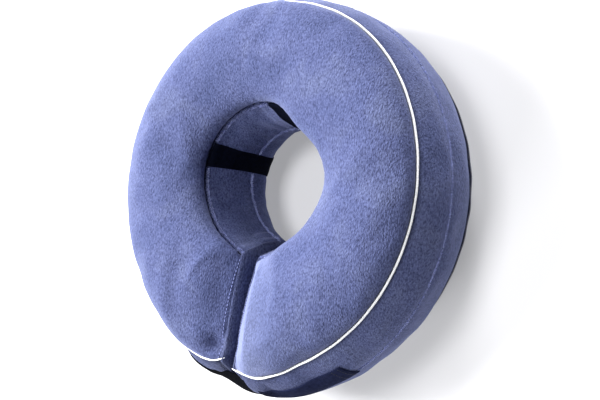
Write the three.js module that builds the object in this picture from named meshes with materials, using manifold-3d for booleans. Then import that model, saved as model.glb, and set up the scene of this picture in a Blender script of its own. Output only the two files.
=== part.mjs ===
// Inflatable recovery collar for a dog or a cat, lying on its back panel.
// A plush cover in sewn panels goes round an air bladder and closes with one strap across a slit.
// Millimetres, +Z up. The slit faces -Y and the padded front panel faces up.

import * as THREE from 'three';
import { mergeVertices } from 'three/addons/utils/BufferGeometryUtils.js';
import Module from 'manifold-3d';

// The ring as seen from the front
const PIPING_RADIUS = 153.7; // outer front seam, which the piping follows
const NECK_RADIUS = 66.0; // front seam of the neck hole
const NECK_SHIFT = 5.4; // from the ring's middle to the hole's middle, away from the slit
const SLIT_WIDTH = 14.5; // between the end seams

// The band's section. Heights are counted from the piping, rises upwards and drops downwards.
const BODY_DEPTH = 102.8; // drop to the face that the collar lies on
const NECK_SEAM_DROP = 8.2;
const LIP_RISE = 20.3; // the front panel's pull at the neck seam
const LIP_LEAN = 24.1; // the same pull towards the hole
const BROW_RISE = 40.6; // the front panel's pull at the piping
const BROW_INSET = 13.2; // the same pull towards the hole
const BAND_BULGE = 13.0; // how far the outer band stands out past the piping
const RIDGE_DROP = 32.6; // soft seam between the two outer bands
const WAIST_RADIUS = 51.2; // rear seam of the neck hole
const WAIST_DROP = 53.3;
const NECK_BULGE = 3.0; // how far the neck wall is blown out between its seams
const END_ROUND_RIGHT = 23.1; // length over which the band fills out from its right end
const END_ROUND_LEFT = 43.1;
const END_BULGE = 2.0; // how far an end panel is blown out into the slit

// Shares of the band's width: where the flat resting face starts and stops, and the pulls beside it
const REST_OUTER = 0.66;
const REST_INNER = 0.36;
const REST_OUTER_PULL = 0.3;
const REST_INNER_PULL = 0.28;
// Share of the height between a seam and the resting face at which a back corner's pull lies
const CORNER_PULL = 0.55;
// The outer band's upper pull: share of its bulge outwards, and share of its height downwards
const BAND_FLARE = 0.5;
const BAND_PULL = 1 / 3;
// Share of the outer back corner at which the zip seam runs
const ZIP_SEAM = 0.54;

// Cloth and trim
const PLUSH_WALL = 2.0;
const PIECE_GAP = 0.3; // clearance between neighbouring pieces
const SEAM_GAP = 0.5; // between the cloth edges at a seam, over the twist of their facets
const BEAD_DIAMETER = 3.0;
const FLANGE_THICKNESS = 0.6; // the piping's tape, held in the front seam
const WEBBING_THICKNESS = 1.4;
const NECK_STRAP_WIDTH = 18.0;
const CLOSURE_WIDTH = 20.0;
const CLOSURE_DROP = 15.0; // from the piping to the closure strap's front edge
const CLOSURE_FRONT_PULL = 3.8; // how far the strap's front edge is drawn in over the slit
const CLOSURE_REAR_SLACK = 4.5; // how far its rear edge stands out there
const ZIP_TAPE_WIDTH = 7.0;
const ZIP_TAPE_THICKNESS = 1.0;
const STRAP_CLEARANCE = 0.7; // under a strap, over the facets of the cloth
const BLADDER_WALL = 1.0;
const BLADDER_CLEARANCE = 1.6; // from the plush to the bladder's coarser facets
const BLADDER_END_SPACE = 3.0; // left free at each end panel
const VALVE_BORE = 8.0;
const VALVE_REACH = 16.0; // length of the cut for it, through the bladder's wall

// Lengthwise places, in degrees round the ring from the slit, counter-clockwise from above
const NECK_STRAPS = [
  { name: 'neck_strap_right', at: 100 },
  { name: 'neck_strap_top', at: 180 },
  { name: 'neck_strap_left', at: 260 },
];
const CLOSURE_FREE_TURN = 38; // from the slit to the strap's free end, on the right
const CLOSURE_SEWN_TURN = 22; // from the slit to its sewn end, on the left
const CLOSURE_BRIDGE_TURN = 15; // from the slit to where the strap leaves the cloth on each side
const ZIP_START = 46;
const ZIP_END = 152;
const VALVE_AT = 200;

// How the soft ring departs from a true one. at: degrees from the slit. outer: share of
// PIPING_RADIUS. neck: share of NECK_RADIUS. lean: share of LIP_LEAN. bulge: share of BAND_BULGE.
const RING_PLAN = [
  { at: 0, outer: 1.0, neck: 1.044, lean: 0.72, bulge: 0.89 },
  { at: 12, outer: 1.034, neck: 1.038, lean: 0.29, bulge: 1.21 },
  { at: 30, outer: 0.996, neck: 1.015, lean: 1.01, bulge: 1.4 },
  { at: 60, outer: 0.983, neck: 1.009, lean: 0.8, bulge: 1.2 },
  { at: 95, outer: 0.984, neck: 1.007, lean: 0.4, bulge: 0.87 },
  { at: 140, outer: 0.993, neck: 0.975, lean: 1.77, bulge: 0.57 },
  { at: 180, outer: 0.979, neck: 0.948, lean: 0.84, bulge: 0.72 },
  { at: 220, outer: 0.98, neck: 0.982, lean: 0.95, bulge: 0.97 },
  { at: 265, outer: 0.979, neck: 1.02, lean: 0.99, bulge: 1.01 },
  { at: 300, outer: 0.975, neck: 0.995, lean: 1.03, bulge: 0.99 },
  { at: 330, outer: 1.002, neck: 1.0, lean: 1.01, bulge: 1.02 },
  { at: 348, outer: 1.019, neck: 1.018, lean: 1.02, bulge: 1.29 },
  { at: 360, outer: 0.975, neck: 1.044, lean: 1.0, bulge: 1.06 },
];

// Dents in the front panel. at: degrees from the slit. across: share of the way from the neck seam
// to the piping. depth: share of BROW_RISE. reach: share of BROW_RISE.
const DENTS = [
  { at: 165, across: 0.42, depth: 0.05, reach: 0.4 },
  { at: 340, across: 0.7, depth: 0.03, reach: 0.4 },
];

// Facets across each stretch of the section, in order from the neck seam round to the neck seam
const FACET_COUNTS = { front: 10, frontBand: 4, backBand: 4, corner: 4, rest: 1, hollow: 4, neck: 4 };
const BAND_STEP = 14; // greatest length of a facet along the band
const BLADDER_STRIDE = 2; // the bladder's facets are this many of the cover's
const BLADDER_END_ROW = 3; // the bladder's first full station, counted from an end
// Where the first stations lie, as shares of the length over which an end fills out
const END_STOPS = [0.22, 0.42, 0.66, 1.0];
const BEAD_SIDES = 8;
const VALVE_SIDES = 12;

const PLUSH = { color: 0x7f88c4, roughness: 0.95, metalness: 0 };
const REFLECTIVE = { color: 0xf2f4f7, roughness: 0.35, metalness: 0 };
const WEBBING = { color: 0x10131f, roughness: 0.85, metalness: 0 };
const ZIP = { color: 0x151a33, roughness: 0.6, metalness: 0 };
const VINYL = { color: 0xc9d3df, roughness: 0.3, metalness: 0 };

const collar = new THREE.Group();

// Adds one piece to the collar
function addPiece(name, geometry, finish) {
  const piece = new THREE.Mesh(geometry, new THREE.MeshStandardMaterial(finish));
  piece.name = name;
  collar.add(piece);
}

// Value of one column of the ring plan at an angle, on a smooth curve through its rows
function planAt(column, angle) {
  const last = RING_PLAN.length - 1;
  const slope = (row) => (RING_PLAN[row + 1][column] - RING_PLAN[row][column])
    / (RING_PLAN[row + 1].at - RING_PLAN[row].at);
  const tangent = (row) => (row === 0 || row === last ? 0 : (slope(row - 1) + slope(row)) / 2);
  const row = RING_PLAN.findIndex((next, k) => k > 0 && (angle <= next.at || k === last)) - 1;
  const from = RING_PLAN[row];
  const to = RING_PLAN[row + 1];
  const span = to.at - from.at;
  const t = (angle - from.at) / span;
  return (1 + 2 * t) * (1 - t) ** 2 * from[column] + t * (1 - t) ** 2 * span * tangent(row)
    + t * t * (3 - 2 * t) * to[column] - t * t * (1 - t) * span * tangent(row + 1);
}

// Level direction at an angle from the slit
function outward(angle) {
  const turn = THREE.MathUtils.degToRad(angle);
  return new THREE.Vector3(Math.sin(turn), -Math.cos(turn), 0);
}

// Angles at which a seam of a given radius meets the two sides of the slit
function slitAngles(radius, column) {
  const start = THREE.MathUtils.radToDeg(Math.asin(SLIT_WIDTH / 2 / (radius * planAt(column, 0))));
  const end = 360 - THREE.MathUtils.radToDeg(Math.asin(SLIT_WIDTH / 2 / (radius * planAt(column, 360))));
  return { start, end };
}

const OUTER_ANGLES = slitAngles(PIPING_RADIUS, 'outer');
const NECK_ANGLES = slitAngles(NECK_RADIUS, 'neck');
const BAND_LENGTH = THREE.MathUtils.degToRad(OUTER_ANGLES.end - OUTER_ANGLES.start)
  * (PIPING_RADIUS + NECK_RADIUS) / 2;

// Share of the band's length that lies at an angle on its outer seam
const shareAt = (angle) => (angle - OUTER_ANGLES.start) / (OUTER_ANGLES.end - OUTER_ANGLES.start);

// The band at a share of its length: its two front seams, and curves of its section.
// The curves are in the plane of the section, x from the neck seam outwards and y up.
function station(share) {
  const outerAngle = THREE.MathUtils.lerp(OUTER_ANGLES.start, OUTER_ANGLES.end, share);
  const neckAngle = THREE.MathUtils.lerp(NECK_ANGLES.start, NECK_ANGLES.end, share);
  const piping = outward(outerAngle).multiplyScalar(PIPING_RADIUS * planAt('outer', outerAngle));
  const neck = outward(neckAngle).multiplyScalar(NECK_RADIUS * planAt('neck', neckAngle));
  neck.y += NECK_SHIFT;
  const across = piping.clone().sub(neck);
  const width = across.length();
  across.normalize();

  const fromEnd = Math.min(share * BAND_LENGTH / END_ROUND_RIGHT, (1 - share) * BAND_LENGTH / END_ROUND_LEFT);
  const fill = 1 - (1 - Math.min(fromEnd, 1)) ** 2;
  const lean = LIP_LEAN * fill * planAt('lean', outerAngle);
  const bulge = BAND_BULGE * planAt('bulge', outerAngle);
  const waist = WAIST_RADIUS - NECK_RADIUS;
  const cornerHeight = (seamDrop) => THREE.MathUtils.lerp(-seamDrop, -BODY_DEPTH, CORNER_PULL);
  const at = (x, y) => new THREE.Vector2(x, y);

  const curves = {
    front: new THREE.CubicBezierCurve(
      at(0, -NECK_SEAM_DROP), at(-lean, -NECK_SEAM_DROP + LIP_RISE * fill),
      at(width - BROW_INSET * fill, BROW_RISE * fill), at(width, 0),
    ),
    outerBand: new THREE.CubicBezierCurve(
      at(width, 0), at(width + bulge * BAND_FLARE, -RIDGE_DROP * BAND_PULL),
      at(width + bulge, -RIDGE_DROP * (1 - BAND_PULL)), at(width + bulge, -RIDGE_DROP),
    ),
    outerCorner: new THREE.CubicBezierCurve(
      at(width + bulge, -RIDGE_DROP), at(width + bulge, cornerHeight(RIDGE_DROP)),
      at(width * (REST_OUTER + REST_OUTER_PULL), -BODY_DEPTH), at(width * REST_OUTER, -BODY_DEPTH),
    ),
    innerCorner: new THREE.CubicBezierCurve(
      at(width * REST_INNER, -BODY_DEPTH), at(width * (REST_INNER - REST_INNER_PULL), -BODY_DEPTH),
      at(waist, cornerHeight(WAIST_DROP)), at(waist, -WAIST_DROP),
    ),
    neckWall: new THREE.QuadraticBezierCurve(
      at(waist, -WAIST_DROP), at(waist / 2 - NECK_BULGE * 2, -(WAIST_DROP + NECK_SEAM_DROP) / 2),
      at(0, -NECK_SEAM_DROP),
    ),
  };
  return { neck, across, width, curves, angle: outerAngle };
}

// Point in space of a point in a station's section
function place(at, flat) {
  return at.neck.clone().addScaledVector(at.across, flat.x).setZ(flat.y + BODY_DEPTH);
}

// Points along a stretch of a curve, without the first one
function stretch(curve, from, to, count) {
  return Array.from({ length: count }, (_, k) => curve.getPointAt(from + (to - from) * (k + 1) / count));
}

// The whole loop of a section, starting at the neck seam
function sectionLoop(at) {
  const { front, outerBand, outerCorner, innerCorner, neckWall } = at.curves;
  const rest = new THREE.LineCurve(outerCorner.getPointAt(1), innerCorner.getPointAt(0));
  return [
    front.getPointAt(0),
    ...stretch(front, 0, 1, FACET_COUNTS.front),
    ...stretch(outerBand, 0, 1, FACET_COUNTS.frontBand),
    ...stretch(outerCorner, 0, ZIP_SEAM, FACET_COUNTS.backBand),
    ...stretch(outerCorner, ZIP_SEAM, 1, FACET_COUNTS.corner),
    ...stretch(rest, 0, 1, FACET_COUNTS.rest),
    ...stretch(innerCorner, 0, 1, FACET_COUNTS.hollow),
    ...stretch(neckWall, 0, 1, FACET_COUNTS.neck),
  ].slice(0, -1).map((flat) => place(at, flat));
}

// Columns of the loop at which the seams lie
const PIPING_COLUMN = FACET_COUNTS.front;
const RIDGE_COLUMN = PIPING_COLUMN + FACET_COUNTS.frontBand;
const BACK_COLUMN = RIDGE_COLUMN + FACET_COUNTS.backBand;
const REST_COLUMN = BACK_COLUMN + FACET_COUNTS.corner;
const WAIST_COLUMN = REST_COLUMN + FACET_COUNTS.rest + FACET_COUNTS.hollow;
const NECK_COLUMN = WAIST_COLUMN + FACET_COUNTS.neck;

// Shares of the band's length at which stations lie, closer together where the ends fill out
function stationShares() {
  const right = END_STOPS.map((stop) => stop * END_ROUND_RIGHT / BAND_LENGTH);
  const left = END_STOPS.map((stop) => 1 - stop * END_ROUND_LEFT / BAND_LENGTH).reverse();
  const from = right.at(-1);
  const to = left[0];
  const count = Math.ceil((to - from) * BAND_LENGTH / BAND_STEP);
  const between = Array.from({ length: count - 1 }, (_, k) => from + (to - from) * (k + 1) / count);
  return [...right, ...between, ...left];
}

// How deep the front panel is dented at a point
function dentDepth(point) {
  return DENTS.reduce((sum, dent) => {
    const at = station(shareAt(dent.at));
    const centre = at.neck.clone().addScaledVector(at.across, at.width * dent.across);
    const distance = Math.hypot(point.x - centre.x, point.y - centre.y) / (dent.reach * BROW_RISE);
    return sum + dent.depth * BROW_RISE * Math.exp(-distance * distance);
  }, 0);
}

// A copy of a loop moved along the slit's width
const moved = (loop, distance) => loop.map((point) => point.clone().setX(point.x + distance));

const rightEnd = sectionLoop(station(0));
const leftEnd = sectionLoop(station(1));

// The body's skin between the end panels, a loop for each station
function bodySkin() {
  const rows = stationShares().map((share) => sectionLoop(station(share)));
  for (const row of rows) {
    for (const point of row.slice(1, PIPING_COLUMN)) {
      point.z -= dentDepth(point);
    }
  }
  const inset = PLUSH_WALL + PIECE_GAP;
  return [moved(rightEnd, inset), ...rows, moved(leftEnd, -inset)];
}

// A copy of a grid of points moved along its normals, outwards where the distance is positive.
// In a closed grid a loop's last point is next to its first, and the loops at the two ends
// are moved within their own planes, which are square to the slit's width.
function offsetGrid(grid, distance, closed) {
  const last = grid.length - 1;
  const count = grid[0].length;
  const along = (k) => (closed ? (k + count) % count : THREE.MathUtils.clamp(k, 0, count - 1));
  return grid.map((row, i) => row.map((point, k) => {
    const atEnd = i === 0 || i === last;
    const lengthwise = closed && atEnd
      ? new THREE.Vector3(1, 0, 0)
      : grid[Math.min(i + 1, last)][k].clone().sub(grid[Math.max(i - 1, 0)][k]);
    const crosswise = row[along(k + 1)].clone().sub(row[along(k - 1)]);
    const normal = lengthwise.cross(crosswise).normalize();
    return point.clone().addScaledVector(normal, -distance);
  }));
}

// Closed geometry from points and faces
function solidGeometry(points, faces) {
  const geometry = new THREE.BufferGeometry();
  geometry.setFromPoints(points);
  geometry.setIndex(faces);
  return geometry;
}

// Solid between two grids of points of the same size, front and back, with a rim all round
function slab(front, back) {
  const rows = front.length;
  const count = front[0].length;
  const faces = [];
  const quad = (a, b, c, d) => faces.push(a, b, c, a, c, d);
  const index = (i, k, side) => side * rows * count + i * count + k;
  for (let i = 0; i < rows - 1; i += 1) {
    for (let k = 0; k < count - 1; k += 1) {
      quad(index(i, k, 0), index(i, k + 1, 0), index(i + 1, k + 1, 0), index(i + 1, k, 0));
      quad(index(i, k, 1), index(i + 1, k, 1), index(i + 1, k + 1, 1), index(i, k + 1, 1));
    }
    const k = count - 1;
    quad(index(i, 0, 0), index(i + 1, 0, 0), index(i + 1, 0, 1), index(i, 0, 1));
    quad(index(i + 1, k, 0), index(i, k, 0), index(i, k, 1), index(i + 1, k, 1));
  }
  for (let k = 0; k < count - 1; k += 1) {
    const i = rows - 1;
    quad(index(0, k + 1, 0), index(0, k, 0), index(0, k, 1), index(0, k + 1, 1));
    quad(index(i, k, 0), index(i, k + 1, 0), index(i, k + 1, 1), index(i, k, 1));
  }
  return solidGeometry([...front.flat(), ...back.flat()], faces);
}

const middleOf = (loop) => loop.reduce((sum, p) => sum.add(p), new THREE.Vector3()).divideScalar(loop.length);

// Solid through a run of closed loops, with a fan to the middle over its first and last loop
function tube(loops) {
  const count = loops[0].length;
  const points = [...loops.flat(), middleOf(loops[0]), middleOf(loops.at(-1))];
  const firstMiddle = points.length - 2;
  const lastMiddle = points.length - 1;
  const faces = [];
  for (let k = 0; k < count; k += 1) {
    const next = (k + 1) % count;
    for (let i = 0; i < loops.length - 1; i += 1) {
      const a = i * count;
      const b = a + count;
      faces.push(a + k, a + next, b + next, a + k, b + next, b + k);
    }
    const end = (loops.length - 1) * count;
    faces.push(firstMiddle, next, k, lastMiddle, end + k, end + next);
  }
  return solidGeometry(points, faces);
}

// Moves the two edges of a row of points back along the cloth, until each is its margin away from
// the plane that the two panels of its seam share. A mitre is that plane's direction through the cloth.
function trimmed(row, mitres, margins) {
  const strip = row.map((point) => point.clone());
  const pull = (edge, inner, mitre, margin) => {
    const along = inner.clone().sub(edge).normalize();
    edge.addScaledVector(along, margin / along.clone().cross(mitre).length());
  };
  pull(strip[0], strip[1], mitres[0], margins[0]);
  pull(strip.at(-1), strip.at(-2), mitres[1], margins[1]);
  return strip;
}

// The cover's panels: strips of the body's skin between two seams
const cover = bodySkin();
const coverInside = offsetGrid(cover, -PLUSH_WALL, true);
const plainSeam = SEAM_GAP / 2;
const pipedSeam = (SEAM_GAP + FLANGE_THICKNESS + SEAM_GAP) / 2;

const PANELS = [
  { name: 'front_panel', from: 0, to: PIPING_COLUMN, margins: [plainSeam, pipedSeam] },
  { name: 'outer_band_front', from: PIPING_COLUMN, to: RIDGE_COLUMN, margins: [pipedSeam, plainSeam] },
  { name: 'outer_band_back', from: RIDGE_COLUMN, to: BACK_COLUMN, margins: [plainSeam, plainSeam] },
  { name: 'back_panel', from: BACK_COLUMN, to: WAIST_COLUMN, margins: [plainSeam, plainSeam] },
  { name: 'neck_wall', from: WAIST_COLUMN, to: NECK_COLUMN, margins: [plainSeam, plainSeam] },
];

for (const { name, from, to, margins } of PANELS) {
  const strip = (grid) => grid.map((row, i) => {
    const mitres = [from, to % row.length].map((k) => cover[i][k].clone().sub(coverInside[i][k]).normalize());
    return trimmed([...row, row[0]].slice(from, to + 1), mitres, margins);
  });
  addPiece(name, slab(strip(cover), strip(coverInside)), PLUSH);
}

// End panels: each closes one end of the band and is blown out a little into the slit.
// The rings of its dome are shares of the end loop's size, from the middle outwards.
const DOME_RINGS = [0.35, 0.7, 1];

function endPanel(loop, inwards) {
  const middle = middleOf(loop);
  const dome = (depth) => DOME_RINGS.map((size) => moved(
    loop.map((point) => middle.clone().lerp(point, size)),
    (depth - END_BULGE * (1 - size * size)) * inwards,
  ));
  const loops = [...dome(0), ...dome(PLUSH_WALL).reverse()];
  return tube(inwards > 0 ? loops : loops.reverse());
}

addPiece('end_panel_right', endPanel(rightEnd, 1), PLUSH);
addPiece('end_panel_left', endPanel(leftEnd, -1), PLUSH);

// Piping: a round bead outside the front seam, with a tape that the seam holds
function pipingSection() {
  const radius = BEAD_DIAMETER / 2;
  const half = FLANGE_THICKNESS / 2;
  const opening = Math.asin(half / radius);
  const bead = Array.from({ length: BEAD_SIDES }, (_, k) => {
    const turn = opening + (2 * Math.PI - 2 * opening) * k / (BEAD_SIDES - 1);
    return { side: -Math.sin(turn) * radius, out: radius + PIECE_GAP - Math.cos(turn) * radius };
  });
  return [...bead, { side: half, out: -PLUSH_WALL }, { side: -half, out: -PLUSH_WALL }];
}

const pipingLoops = cover.map((row, i) => {
  const out = row[PIPING_COLUMN].clone().sub(coverInside[i][PIPING_COLUMN]).normalize();
  const next = cover[Math.min(i + 1, cover.length - 1)][PIPING_COLUMN];
  const previous = cover[Math.max(i - 1, 0)][PIPING_COLUMN];
  const side = next.clone().sub(previous).cross(out).normalize();
  return pipingSection().map((at) => row[PIPING_COLUMN].clone()
    .addScaledVector(side, at.side).addScaledVector(out, at.out));
});
addPiece('piping', tube(pipingLoops), REFLECTIVE);

// A strap that lies on the cloth: the skin under it, lifted by a clearance and by its thickness
function lyingStrap(skin, clearance, thickness) {
  return slab(offsetGrid(skin, clearance + thickness, false), offsetGrid(skin, clearance, false));
}

// Neck straps run from the front seam over the neck wall and the rear seam onto the back panel
const NECK_STRAP_FACET_COUNTS = { wall: 5, hollow: 4, across: 3 };
const NECK_STRAP_TOP = 0.98; // share of the neck wall at which a strap comes out of the front seam
const NECK_STRAP_FOOT = 0.45; // share of the inner back corner at which it is sewn down

for (const { name, at } of NECK_STRAPS) {
  const half = THREE.MathUtils.radToDeg(NECK_STRAP_WIDTH / 2 / WAIST_RADIUS);
  const skin = Array.from({ length: NECK_STRAP_FACET_COUNTS.across + 1 }, (_, k) => {
    const angle = at - half + 2 * half * k / NECK_STRAP_FACET_COUNTS.across;
    const { curves, ...rest } = station(shareAt(angle));
    const path = [
      curves.innerCorner.getPointAt(NECK_STRAP_FOOT),
      ...stretch(curves.innerCorner, NECK_STRAP_FOOT, 1, NECK_STRAP_FACET_COUNTS.hollow),
      ...stretch(curves.neckWall, 0, NECK_STRAP_TOP, NECK_STRAP_FACET_COUNTS.wall),
    ];
    return path.map((flat) => place(rest, flat));
  });
  addPiece(name, lyingStrap(skin, STRAP_CLEARANCE, WEBBING_THICKNESS), WEBBING);
}

// The closure strap lies on the outer band at both ends. It bridges the slit with its front edge
// drawn in and its rear edge slack. A column runs along it, at a share of its width from the front.
const CLOSURE_FACET_COUNTS = { lying: 7, bridge: 8, across: 2 };

function closureColumn(share) {
  const drop = CLOSURE_DROP + CLOSURE_WIDTH * share;
  const slack = THREE.MathUtils.lerp(-CLOSURE_FRONT_PULL, CLOSURE_REAR_SLACK, share);
  const onBand = (angle) => {
    const at = station(shareAt(angle));
    const { outerBand, outerCorner } = at.curves;
    return drop < RIDGE_DROP
      ? place(at, outerBand.getPointAt(drop / RIDGE_DROP))
      : place(at, outerCorner.getPointAt((drop - RIDGE_DROP) / outerCorner.getLength()));
  };
  const lying = (from, to) => Array.from({ length: CLOSURE_FACET_COUNTS.lying }, (_, k) => onBand(
    THREE.MathUtils.lerp(from, to, k / CLOSURE_FACET_COUNTS.lying),
  ));
  const start = onBand(CLOSURE_BRIDGE_TURN);
  const end = onBand(360 - CLOSURE_BRIDGE_TURN);
  const span = start.distanceTo(end);
  const bridge = new THREE.CubicBezierCurve3(
    start, start.clone().addScaledVector(outward(CLOSURE_BRIDGE_TURN - 90), span / 3),
    end.clone().addScaledVector(outward(90 - CLOSURE_BRIDGE_TURN), span / 3), end,
  );
  const over = Array.from({ length: CLOSURE_FACET_COUNTS.bridge + 1 }, (_, k) => {
    const t = k / CLOSURE_FACET_COUNTS.bridge;
    const point = bridge.getPointAt(t);
    point.y -= slack * (4 * t * (1 - t)) ** 2;
    return point;
  });
  return [
    ...lying(CLOSURE_FREE_TURN, CLOSURE_BRIDGE_TURN), ...over,
    ...lying(360 - CLOSURE_SEWN_TURN, 360 - CLOSURE_BRIDGE_TURN).reverse(),
  ];
}

const closureColumns = Array.from({ length: CLOSURE_FACET_COUNTS.across + 1 }, (_, k) => closureColumn(
  k / CLOSURE_FACET_COUNTS.across,
));
const closureSkin = closureColumns[0].map((_, i) => closureColumns.map((column) => column[i])).reverse();
addPiece('closure_strap', lyingStrap(closureSkin, STRAP_CLEARANCE, WEBBING_THICKNESS), WEBBING);

// The zip lies over the seam between the outer band and the back panel
const ZIP_FACET_COUNTS = { along: 22, across: 2 };

const zipSkin = Array.from({ length: ZIP_FACET_COUNTS.along + 1 }, (_, i) => {
  const at = station(shareAt(THREE.MathUtils.lerp(ZIP_START, ZIP_END, i / ZIP_FACET_COUNTS.along)));
  const corner = at.curves.outerCorner;
  const half = ZIP_TAPE_WIDTH / 2 / corner.getLength();
  return Array.from({ length: ZIP_FACET_COUNTS.across + 1 }, (_, k) => place(
    at, corner.getPointAt(ZIP_SEAM + half * (2 * k / ZIP_FACET_COUNTS.across - 1)),
  ));
});
addPiece('back_zip', lyingStrap(zipSkin, STRAP_CLEARANCE, ZIP_TAPE_THICKNESS), ZIP);

// The air bladder: a hollow tube inside the cover, open at its valve
const wasm = await Module();
wasm.setup();

function manifoldOf(geometry) {
  const plain = geometry.clone();
  plain.deleteAttribute('normal');
  plain.deleteAttribute('uv');
  const merged = mergeVertices(plain);
  return new wasm.Manifold(new wasm.Mesh({
    numProp: 3,
    vertProperties: new Float32Array(merged.attributes.position.array),
    triVerts: new Uint32Array(merged.index.array),
  }));
}

function geometryOf(solid) {
  const mesh = solid.getMesh();
  const geometry = new THREE.BufferGeometry();
  geometry.setAttribute('position', new THREE.Float32BufferAttribute(mesh.vertProperties, 3));
  geometry.setIndex([...mesh.triVerts]);
  return geometry;
}

// Some of a grid's rows and columns, at a stride, among them the columns at which its seams lie.
// Between each end and the first full row the bladder is plain.
function coarse(grid) {
  const columns = [];
  let start = 0;
  for (const count of Object.values(FACET_COUNTS)) {
    for (let k = 0; k < count; k += BLADDER_STRIDE) {
      columns.push(start + k);
    }
    start += count;
  }
  const full = grid.slice(BLADDER_END_ROW, -BLADDER_END_ROW).filter((_, i) => i % BLADDER_STRIDE === 0);
  return [grid[0], ...full, grid.at(-1)].map((row) => columns.map((k) => row[k]));
}

// The bladder's skin at a depth under the cover's outside, closed at both ends
function bladderSkin(depth) {
  const rows = offsetGrid(cover, -depth, true);
  const shift = BLADDER_END_SPACE + depth - PLUSH_WALL;
  rows[0].forEach((point) => point.setX(point.x + shift));
  rows.at(-1).forEach((point) => point.setX(point.x - shift));
  return manifoldOf(tube(coarse(rows)));
}

const valveStation = station(shareAt(VALVE_AT));
const valvePlace = place(valveStation, valveStation.curves.outerBand.getPointAt(1));
const valveBore = new THREE.CylinderGeometry(VALVE_BORE / 2, VALVE_BORE / 2, VALVE_REACH, VALVE_SIDES);
valveBore.applyQuaternion(new THREE.Quaternion().setFromUnitVectors(
  new THREE.Vector3(0, 1, 0), outward(VALVE_AT),
));
valveBore.translate(valvePlace.x, valvePlace.y, valvePlace.z);

const bladderDepth = PLUSH_WALL + BLADDER_CLEARANCE;
const bladder = bladderSkin(bladderDepth)
  .subtract(bladderSkin(bladderDepth + BLADDER_WALL))
  .subtract(manifoldOf(valveBore));
addPiece('air_bladder', geometryOf(bladder), VINYL);

// The origin is under the middle of the collar, on the surface it lies on
const box = new THREE.Box3().setFromObject(collar);
const centre = box.getCenter(new THREE.Vector3());
collar.position.set(-centre.x, -centre.y, -box.min.z);

export default collar;
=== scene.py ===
# %% [markdown]
# # Inflatable recovery collar
#
# The real thing is a ring of short-pile plush, sewn from five long panels and two end panels round
# an air bladder. It opens at one slit, which a webbing strap closes. White reflective piping runs
# round the front seam, three elastic loops lie in the neck hole, and a zip closes the cover.
#
# This lesson keeps one idea all the way: the band has a section, the section is swept round a plan,
# and each piece is a stretch of that one skin between two seams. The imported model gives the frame.

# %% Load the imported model
import math
from functools import partial

import bpy
import numpy as np
from mathutils import Matrix, Vector


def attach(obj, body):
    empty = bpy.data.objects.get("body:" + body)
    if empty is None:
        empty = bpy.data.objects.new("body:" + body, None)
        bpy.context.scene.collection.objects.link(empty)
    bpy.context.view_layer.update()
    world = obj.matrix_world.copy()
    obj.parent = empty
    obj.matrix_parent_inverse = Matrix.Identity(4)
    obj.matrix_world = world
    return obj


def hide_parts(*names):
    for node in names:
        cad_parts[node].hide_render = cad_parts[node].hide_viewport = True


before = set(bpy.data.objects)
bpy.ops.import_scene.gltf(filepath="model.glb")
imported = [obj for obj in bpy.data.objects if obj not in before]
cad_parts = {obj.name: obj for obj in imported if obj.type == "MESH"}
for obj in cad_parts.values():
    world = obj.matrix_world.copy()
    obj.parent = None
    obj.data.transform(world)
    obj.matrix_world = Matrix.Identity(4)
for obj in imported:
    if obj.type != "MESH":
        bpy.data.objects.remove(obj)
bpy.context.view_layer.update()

# %% [markdown]
# ## Camera
#
# The collar lies flat, and the photograph sees it from a little to its right at 52 degrees above the
# floor, turned so that the slit points down in the picture. A camera is an object with a rotation
# matrix: its columns are where the picture's right, the picture's up and the way back to the
# camera point. The lens is 54 mm on a 36 mm sensor.

# %% Place the camera
CAMERA_AT = (0.48342, 0.00368, 0.66475)
PICTURE_RIGHT = (0.7787, 0.1670, -0.6047)
PICTURE_UP = (-0.13364, 0.98596, 0.10014)
CAMERA_BACK = (0.61296, 0.00283, 0.79011)
LENS_MM = 54

camera = bpy.data.objects.new("camera", bpy.data.cameras.new("camera"))
bpy.context.collection.objects.link(camera)
camera.data.lens = LENS_MM
turn = Matrix((PICTURE_RIGHT, PICTURE_UP, CAMERA_BACK)).transposed()
camera.matrix_world = Matrix.Translation(CAMERA_AT) @ turn.to_4x4()
bpy.context.scene.camera = camera
print("camera height in m:", CAMERA_AT[2])

# %% [markdown]
# ## The ring's plan and the band's section
#
# Seen from the front the ring is nearly round. A short table says how it departs from that at
# thirteen angles, and a smooth curve goes through its rows. The section is drawn by Bezier curves
# between the named seams. The sizes are those of the part's source, here in metres. Only the lean
# differs: from 180 to 330 degrees the lip leans a little less here, so that the neck seam shows.

# %% Sizes of the ring
MM = 0.001
PIPING_RADIUS = 153.7 * MM
NECK_RADIUS = 66.0 * MM
NECK_SHIFT = 5.4 * MM
SLIT_WIDTH = 14.5 * MM
RING_CENTRE = np.array([0.219, 10.391]) * MM
RING_PLAN = {
    "at": [0, 12, 30, 60, 95, 140, 180, 220, 265, 300, 330, 348, 360],
    "outer": [1.0, 1.034, 0.996, 0.983, 0.984, 0.993, 0.979, 0.98, 0.979, 0.975, 1.002, 1.019, 0.975],
    "neck": [1.044, 1.038, 1.015, 1.009, 1.007, 0.975, 0.948, 0.982, 1.02, 0.995, 1.0, 1.018, 1.044],
    "lean": [0.72, 0.29, 1.01, 0.8, 0.4, 1.77, 0.72, 0.66, 0.66, 0.7, 0.85, 1.02, 1.0],
    "bulge": [0.89, 1.21, 1.4, 1.2, 0.87, 0.57, 0.72, 0.97, 1.01, 0.99, 1.02, 1.29, 1.06],
}


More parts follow.
